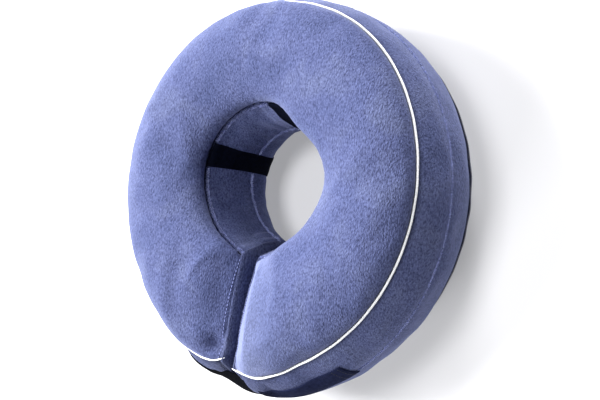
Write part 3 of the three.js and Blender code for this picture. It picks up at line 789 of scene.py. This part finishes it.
deep = (skin - normals_of(skin, True) * BLADDER_DEPTH)[BLADDER_ENDS:-BLADDER_ENDS:BLADDER_STEP, ::2]
around, side_points = deep.shape[1], deep.shape[0] * deep.shape[1]
points = np.concatenate([deep.reshape(-1, 3), deep[:1].mean(axis=1), deep[-1:].mean(axis=1)])
film_faces = grid_faces(*deep.shape[:2], True)
film_faces += fan(list(range(around)), side_points, 1)
film_faces += fan(list(range(side_points - around, side_points)), side_points + 1, -1)
bladder = new_piece("vinyl_bladder", points, film_faces)
print("bladder faces:", len(bladder.data.polygons))

# %% [markdown]
# ## Materials
#
# One function adds a node with its settings and links, and one turns sRGB hex into the linear
# numbers that shaders use. Each material starts from the real one.

# %% Make helpers for materials
MULTIPLY = {"data_type": "RGBA", "blend_type": "MULTIPLY"}
TIMES = {"operation": "MULTIPLY"}


def linear(hex_colour):
    """An sRGB hex colour as linear red, green, blue and alpha."""
    parts = [int(hex_colour[i:i + 2], 16) / 255 for i in (1, 3, 5)]
    return [p / 12.92 if p <= 0.04045 else ((p + 0.055) / 1.055) ** 2.4 for p in parts] + [1.0]


def fill_inputs(node, inputs):
    """Sets a node's inputs, by name or by number as i7, or links sockets or nodes' first outputs."""
    for key, value in inputs.items():
        numbered = key[0] == "i" and key[1:].isdigit()
        socket = node.inputs[int(key[1:]) if numbered else key.replace("_", " ")]
        value = value.outputs[0] if isinstance(value, bpy.types.Node) else value
        if isinstance(value, bpy.types.NodeSocket):
            node.id_data.links.new(value, socket)
        else:
            socket.default_value = value
    return node


def add_node(tree, kind, settings=None, **inputs):
    """Adds a node. Settings are its properties, or a colour ramp's stops as (position, hex colour)."""
    node = tree.nodes.new(kind)
    for key, value in (settings or {}).items():
        if key == "stops":
            elements = node.color_ramp.elements
            while len(elements) < len(value):
                elements.new(0.5)
            for element, (position, colour) in zip(elements, value):
                element.position, element.color = position, linear(colour)
        else:
            setattr(node, key, value)
    return fill_inputs(node, inputs)


def new_material(name):
    """A new material, its shader, and the way to add a shader node of a kind to it."""
    material = bpy.data.materials.new(name)
    material.use_nodes = True
    tree = material.node_tree
    add = lambda kind, *settings, **inputs: add_node(tree, "ShaderNode" + kind, *settings, **inputs)
    return material, tree.nodes["Principled BSDF"], add


# %% [markdown]
# ### Plush
#
# Polyester plush, also sold as crystal velvet: short fibres that stand up from a knit. Each tuft
# leans its own way, so the face has a fine light and dark grain, and a stroke of the hand leaves
# broad paler and darker patches. At a grazing angle the fibre sides catch light, which is sheen: the
# shader gives some, and a painted sheen mixes the colour paler where the cloth is seen edge-on.
# The pile is pressed flat beside a seam and looks darker there. Near the slit the colour is painted
# paler on the front and darker on the outer wall: painted light and painted shade. Real
# tufts are about 0.6 mm, too fine to show, so the grain is drawn at 1.15 mm.

# %% Make the plush
TUFT = 1.15 * MM
NAP_PATCH = 38 * MM
PRESSED_REACH = 6 * MM
NAP_COLOURS = [(0.3, "#505980"), (0.52, "#575F86"), (0.72, "#60688B")]
GRAIN_SHADES = [(0.32, "#9A9AA4"), (0.5, "#DADAE0"), (0.66, "#FFFFFF")]


def plush_material():
    material, shader, add = new_material("polyester plush, short pile")
    place_of = add("TexCoord").outputs["Object"]
    patch = add("TexNoise", Vector=place_of, Scale=1 / NAP_PATCH, Detail=3.0, Roughness=0.55,
                Distortion=0.6)
    combed = add("Mapping", Vector=place_of, Scale=(1.0, 0.5, 0.8))
    grain = add("TexNoise", Vector=combed, Scale=1 / TUFT, Detail=2.0, Roughness=0.7)
    tufts = add("TexVoronoi", Vector=combed, Scale=1 / TUFT)
    seam, brushed = [add("Attribute", {"attribute_name": name}).outputs["Fac"]
                     for name in ("seam_distance", "brushed")]
    colour = add("ValToRGB", {"stops": NAP_COLOURS}, Fac=patch)
    speckle = add("ValToRGB", {"stops": GRAIN_SHADES}, Fac=grain)
    pressed = add("MapRange", Value=seam, i1=0.0, i2=PRESSED_REACH, i3=0.62, i4=1.0)
    # painted shade: the outer wall's colour is darkened near the slit
    painted_slit_shade = add("MapRange", Value=brushed, i1=-1.0, i2=0.0, i3=0.3, i4=1.0)
    for shade in (speckle, pressed, painted_slit_shade):
        colour = add("Mix", MULTIPLY, i0=1.0, i6=colour, i7=shade).outputs[2]
    # painted sheen: the colour is mixed towards a pale blue where the cloth is seen edge-on, and the painted
    # light near the slit is added to that mix
    edge_on = add("LayerWeight", Blend=0.5).outputs["Facing"]
    painted_sheen = add("MapRange", Value=edge_on, i1=0.4, i2=1.0, i3=0.0, i4=0.2)
    painted_light_share = add("Math", {"operation": "ADD", "use_clamp": True}, i0=painted_sheen, i1=brushed)
    lit = add("Mix", {"data_type": "RGBA"}, i0=painted_light_share, i6=colour, i7=linear("#9EA8D0")).outputs[2]
    height = add("Math", {"operation": "SUBTRACT"}, i0=grain, i1=tufts)
    bump = add("Bump", Strength=0.55, Distance=0.8 * MM, Height=height)
    fill_inputs(shader, {"Base Color": lit, "Normal": bump, "Roughness": 0.95, "Specular IOR Level": 0.15,
                         "Sheen Weight": 0.2, "Sheen Roughness": 0.4, "Sheen Tint": linear("#B8C0F2")})
    return material


plush = plush_material()
print("plush nodes:", len(plush.node_tree.nodes))

# %% [markdown]
# ### Reflective tape, webbing, elastic, zip and film
#
# The piping's tape is a woven polyester strip with glass beads: white, smooth and a little shiny.
# Webbing and elastic are near black and matt, with ribs about a millimetre apart that read the
# band's own UV map. The closure is paler over its hook-and-loop patch and painted near black past
# it, as painted shade where it bridges the slit. The zip is nylon on a knitted tape. The bladder is
# clear vinyl film. Thread, raised pile and zip teeth are each one colour with a fine grain; the
# raised pile is painted paler than the plush, for the light that the standing fibres catch.

# %% Make the other materials
RIB = 1.1 * MM
THREAD = 0.8 * MM
FLUFF = 3 * MM
# where the closure's hook-and-loop patch ends; past it the strap is painted near black as shade
PATCH_END = (60 * MM, 95 * MM)


def grained_material(name, grain, detail, stops, roughness, bump=0.0):
    """A material whose colour wanders between stops with a grain of some size."""
    material, shader, add = new_material(name)
    place_of = add("TexCoord").outputs["Object"]
    noise = add("TexNoise", Vector=place_of, Scale=1 / grain, Detail=detail)
    colour = add("ValToRGB", {"stops": stops}, Fac=noise)
    fill_inputs(shader, {"Base Color": colour, "Roughness": roughness})
    if bump:
        relief = add("Bump", Strength=bump, Distance=0.2 * MM, Height=noise)
        fill_inputs(shader, {"Normal": relief})
    return material


def band_material(name, dark, light, along_pitch, across_pitch, roughness, patch=None):
    """A woven band: ribs along it and threads across it, on its own UV map. Past a patch it is painted black,
    as shade.
    """
    material, shader, add = new_material(name)
    at = add("UVMap", {"uv_map": "band"})
    parts = add("SeparateXYZ", Vector=at).outputs
    waves = []
    for part, pitch in (("X", along_pitch), ("Y", across_pitch)):
        angle = add("Math", TIMES, i0=parts[part], i1=2 * math.pi / pitch)
        waves.append(add("Math", {"operation": "SINE"}, i0=angle))
    mixed = add("Math", TIMES, i0=waves[0], i1=waves[1])
    height = add("MapRange", Value=mixed, i1=-1.0, i2=1.0)
    fluff = add("TexNoise", Vector=at, Scale=1 / FLUFF, Detail=4.0)
    both = add("Math", TIMES, i0=height, i1=fluff)
    colour = add("ValToRGB", {"stops": [(0.1, dark), (0.65, light)]}, Fac=both)
    if patch:
        # past the patch the strap is painted near black: painted shade where it bridges the slit
        into_painted_shade = add("MapRange", Value=parts["X"], i1=patch[0], i2=patch[1])
        painted_shade_black = linear("#030409")
        colour = add("Mix", {"data_type": "RGBA"}, i0=into_painted_shade, i6=colour, i7=painted_shade_black).outputs[2]
    bump = add("Bump", Strength=0.5, Distance=0.3 * MM, Height=height)
    fill_inputs(shader, {"Base Color": colour, "Normal": bump, "Roughness": roughness,
                         "Specular IOR Level": 0.02})
    return material


def solid_material(name, colour, roughness, grain):
    """A material of one colour whose grain makes it a little lighter and darker."""
    material, shader, add = new_material(name)
    place_of = add("TexCoord").outputs["Object"]
    noise = add("TexNoise", Vector=place_of, Scale=1 / grain)
    light = add("MapRange", Value=noise, i1=0.3, i2=0.7, i3=0.7, i4=1.2)
    shade = add("Mix", MULTIPLY, i0=1.0, i6=linear(colour), i7=light).outputs[2]
    fill_inputs(shader, {"Base Color": shade, "Roughness": roughness})
    return material


tape = grained_material("reflective polyester tape", 1.2 * MM, 1.0, [(0.3, "#E4E8EE"), (0.6, "#FFFFFF")], 0.4,
                        bump=0.2)
elastic = band_material("woven elastic", "#04050C", "#0F1426", RIB, THREAD, 0.9)
webbing = band_material("nylon webbing", "#12162C", "#2C3252", RIB, THREAD, 0.9, patch=PATCH_END)
zip_knit = band_material("knitted zip tape", "#0C1024", "#1D2547", THREAD, THREAD, 0.75)
film = grained_material("vinyl film", 25 * MM, 3.0, [(0.3, "#C4CEDA"), (0.7, "#DCE4EC")], 0.3)
# the standing pile is painted paler than the plush, for the light it catches at the seams
pile_painted_lit = solid_material("polyester pile standing at a seam, painted lit", "#9CA5D6", 0.95, 2 * MM)
blue_thread = solid_material("blue polyester thread", "#7F88BE", 0.6, 1 * MM)
navy_thread = solid_material("navy polyester thread", "#0C1026", 0.6, 1 * MM)
nylon = solid_material("moulded nylon zip teeth", "#141A38", 0.35, 3 * MM)
print("materials:", [material.name for material in bpy.data.materials])

# %% [markdown]
# ## Stitches, zip teeth and standing pile
#
# All three are one small shape set again and again along a line, which is what Geometry Nodes are
# for. One tree does it: the line is cut into even steps, a shape is set on each point, turned so that
# its length follows the line and its height follows the cloth, and leant a little by a seeded
# random turn. A stitch is a flat grain of thread, a tooth is a block, and a tuft of pile is a cone.
# Tufts stand along the seams, where the turned cloth opens its pile. Real tufts and stitches are
# about half as thick. They are made thicker here, because they would not show otherwise.

# %% Build the tree that repeats a shape along lines
SHAPES = {
    "stitch": ("GeometryNodeMeshUVSphere", {"Segments": 6, "Rings": 4, "Radius": 0.5}),
    "tooth": ("GeometryNodeMeshCube", {"Size": (1.0, 1.0, 1.0)}),
    "tuft": ("GeometryNodeMeshCone", {"Vertices": 4, "Radius_Bottom": 0.5, "Depth": 1.0}),
}
INPUTS = {"Pitch": "Float", "Size": "Vector", "Lean": "Float", "Seed": "Int", "Material": "Material"}
FROM, TO = (-1.0, -1.0, -1.0), (1.0, 1.0, 1.0)


def repeating_tree(shape):
    tree = bpy.data.node_groups.new("repeat a " + shape + " along lines", "GeometryNodeTree")
    tree.interface.new_socket("Geometry", in_out="INPUT", socket_type="NodeSocketGeometry")
    for label, kind in INPUTS.items():
        tree.interface.new_socket(label, in_out="INPUT", socket_type="NodeSocket" + kind)
    tree.interface.new_socket("Geometry", in_out="OUTPUT", socket_type="NodeSocketGeometry")
    add = partial(add_node, tree)
    given = add("NodeGroupInput").outputs
    line = add("GeometryNodeMeshToCurve", Mesh=given["Geometry"])
    steps = add("GeometryNodeResampleCurve", {"mode": "LENGTH"}, Curve=line, Length=given["Pitch"])
    up = add("GeometryNodeInputNamedAttribute", {"data_type": "FLOAT_VECTOR"}, Name="up")
    tangent = add("GeometryNodeInputTangent")
    raised = add("FunctionNodeAlignRotationToVector", {"axis": "Z"}, Vector=up)
    turned = add("FunctionNodeAlignRotationToVector", {"axis": "X", "pivot_axis": "Z"}, Rotation=raised,
                 Vector=tangent)
    chance = add("FunctionNodeRandomValue", {"data_type": "FLOAT_VECTOR"}, i0=FROM, i1=TO, Seed=given["Seed"])
    tilt = add("ShaderNodeVectorMath", {"operation": "SCALE"}, i0=chance, Scale=given["Lean"])
    by = add("FunctionNodeEulerToRotation", Euler=tilt)
    leant = add("FunctionNodeRotateRotation", {"rotation_space": "LOCAL"}, Rotation=turned, Rotate_By=by)
    kind, sizes = SHAPES[shape]
    copies = add("GeometryNodeInstanceOnPoints", Points=steps, Instance=add(kind, **sizes), Rotation=leant,
                 Scale=given["Size"])
    real = add("GeometryNodeRealizeInstances", Geometry=copies)
    painted = add("GeometryNodeSetMaterial", Geometry=real, Material=given["Material"])
    add("NodeGroupOutput", Geometry=painted)
    return tree


trees = {shape: repeating_tree(shape) for shape in SHAPES}
print("trees:", [tree.name for tree in trees.values()])

# %% Repeat shapes along lines on the skin
def repeated(name, shape, lines, pitch, size, lean, seed, material):
    """One piece made of a shape repeated along lines, which are lists of (point, way up)."""
    points, ups = zip(*[pair for line in lines for pair in line])
    edges, start = [], 0
    for line in lines:
        edges += [(k, k + 1) for k in range(start, start + len(line) - 1)]
        start += len(line)
    piece = new_piece(name, points, [], edges)
    attribute = piece.data.attributes.new("up", "FLOAT_VECTOR", "POINT")
    attribute.data.foreach_set("vector", np.array(ups, float).ravel())
    nodes = piece.modifiers.new("repeat", "NODES")
    nodes.node_group = trees[shape]
    values = {"Pitch": pitch * MM, "Size": [s * MM for s in size], "Lean": lean, "Seed": seed,
              "Material": material}
    for item in trees[shape].interface.items_tree:
        if item.name in values:
            nodes[item.identifier] = values[item.name]
    baked(piece)
    print(name, "faces:", len(piece.data.polygons))
    return piece


def lifted(share, column, lift):
    """A point of the sunk skin lifted by millimetres, and the way up there."""
    up = on_skin(share, column, normal)
    return on_skin(share, column, sunk) + up * lift * MM, up


def seam_line(column, first, last, count, lift):
    """A line along the band at a column, between two shares."""
    return [lifted(share, column, lift) for share in np.linspace(first, last, count)]


def end_line(share, first, last, lift):
    """A line across the band at a share, between two columns."""
    return [lifted(share, column, lift) for column in np.arange(first, last, 0.5)]


TUFT_SIZE = (0.45, 0.45, 2.0)
LOOP_HALF_TURN = 11  # degrees on either side of a neck loop's middle without pile under the loop
clear_ends = [share_at(angle + side * LOOP_HALF_TURN) for angle in NECK_LOOPS.values() for side in (-1, 1)]
clear_spans = list(zip([0.005] + clear_ends[1::2], clear_ends[::2] + [0.995]))
PILE = [
    # seam column, columns away from it, stretches of the band, points in each, lift in mm
    (NECK_SEAM, (-0.1, -0.3, -0.5, -0.7), clear_spans, 180, 0.6),
    (WAIST_SEAM, (-0.35, -0.1, 0.15), clear_spans, 180, -0.2),
    (RIDGE_SEAM, (-0.14, 0.0, 0.14), [(0.004, 0.996)], 500, -0.7),
]
pile_lines = [seam_line(seam + over, *span, count, lift)
              for seam, overs, spans, count, lift in PILE for over in overs for span in spans]
pile_lines += [end_line(share, 0.5, PIPING_SEAM - 1, -0.2) for share in (0.0015, 0.9985)]
pile = repeated("pile_along_seams", "tuft", pile_lines, 0.6, TUFT_SIZE, 0.55, 7, pile_painted_lit)

# %% Sew the stitches and set the zip's teeth
TEETH_LIFT = 0.2 * MM
HEM_ROWS, HEM_INSET, HEM_POINTS = (1, 3), 0.5, 12  # rows of the closure's grid, and columns from its edge


def across_band(grid, row):
    """A line across a flat band's grid at one of its rows, on top of the band."""
    at = np.linspace(HEM_INSET, grid.shape[1] - 1 - HEM_INSET, HEM_POINTS)
    columns_of = np.arange(grid.shape[1])
    point, up = [
        np.stack([np.interp(at, columns_of, values[row, :, axis]) for axis in range(3)], axis=1)
        for values in (grid, normals_of(grid, False))
    ]
    return list(zip(point + up * (BAND_CLEARANCE + BAND_THICKNESS), up))


def along_zip(column, lift):
    """A line along the zip's grid at one of its columns."""
    up = normals_of(zip_grid, False)[:, column]
    return list(zip(zip_grid[:, column] + up * lift, up))


zip_top = ZIP_CLEARANCE + ZIP_THICKNESS
hems = [across_band(closure_grid, row) for row in HEM_ROWS]
closure_thread = repeated("thread_of_closure_strap", "stitch", hems, 2.6, (2.0, 0.6, 0.5), 0.08, 3,
                          navy_thread)
end_thread = repeated("thread_of_left_end", "stitch", [end_line(0.9945, 1, PIPING_SEAM - 1, 0.1)],
                      3.2, (2.4, 0.7, 0.6), 0.08, 4, blue_thread)
zip_thread = repeated("thread_of_zip", "stitch", [along_zip(column, zip_top) for column in (0, -1)],
                      3.4, (2.4, 0.6, 0.5), 0.08, 5, navy_thread)
teeth = repeated("zip_teeth", "tooth", [along_zip(ACROSS // 2, zip_top + TEETH_LIFT)],
                 1.9, (1.1, 4.0, 1.0), 0.0, 6, nylon)

# %% Dress the pieces
for piece, slot in [(pile, "plush"), (closure_thread, "webbing"), (end_thread, "plush"), (zip_thread, "zip"),
                    (teeth, "zip")]:
    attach(piece, "root")

for node, piece in cover.items():
    piece.data.materials.append(plush)
    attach(piece, "root")
    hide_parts(node)

for piece, node, material, slot in [
    (piping, "piping", tape, "reflective"),
    *[(piece, node, elastic, "webbing") for node, piece in loops.items()],
    (closure, "closure_strap", webbing, "webbing"),
    (zip_tape, "back_zip", zip_knit, "zip"),
    (bladder, "air_bladder", film, "vinyl"),
]:
    piece.data.materials.append(material)
    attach(piece, "root")
    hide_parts(node)

print("pieces dressed:", len(cover) + len(loops) + 4)

# %% [markdown]
# ## Floor and light
#
# Four soft lights give the photograph's light. The key stands on the left and lights the front, so
# the outer wall beside the camera gets only what the floor throws back. A fill from below the slit,
# one from above and a low one past the top of the collar make the upper stretch of the wall paler.
# The paper floor is lit a little from below, as a light table is, because the photograph is a
# cut-out on white.

# %% Set up the studio
FLOOR_HALF = 4.0
LIGHTS = [
    # name, place, what it looks at, size in metres, watts
    ("key", (-1.55, 0.0, 1.75), (0, 0, 0.05), 0.9, 130),
    ("fill", (-0.5, -1.9, 1.2), (0, -0.1, 0.05), 0.9, 32),
    ("top", (0.0, 0.3, 2.4), (0, 0, 0.05), 0.9, 40),
    ("rim", (-0.1, 2.0, 0.5), (0.05, 0.15, 0.06), 0.6, 62),
]
corners = [(x * FLOOR_HALF, y * FLOOR_HALF, 0) for x, y in ((-1, -1), (1, -1), (1, 1), (-1, 1))]
floor = new_piece("floor", corners, [(0, 1, 2, 3)])
paper, paper_shader, _ = new_material("matt white paper")
fill_inputs(paper_shader, {
    "Base Color": linear("#BCBCBF"), "Roughness": 1.0, "Specular IOR Level": 0.0,
    "Emission Color": linear("#FFFFFF"), "Emission Strength": 0.32,
})
floor.data.materials.append(paper)

for name, at, towards, size, watts in LIGHTS:
    lamp = bpy.data.objects.new(name, bpy.data.lights.new(name, "AREA"))
    bpy.context.collection.objects.link(lamp)
    lamp.data.shape, lamp.data.size, lamp.data.energy = "SQUARE", size, watts
    lamp.location, lamp.rotation_mode = at, "QUATERNION"
    lamp.rotation_quaternion = (Vector(towards) - Vector(at)).to_track_quat("-Z", "Y")

world = bpy.data.worlds.new("studio")
bpy.context.scene.world = world
world.use_nodes = True
fill_inputs(world.node_tree.nodes["Background"], {"Color": linear("#FFFFFF"), "Strength": 0.08})
bpy.context.scene.view_settings.view_transform = "Standard"
print("lights:", [row[0] for row in LIGHTS])
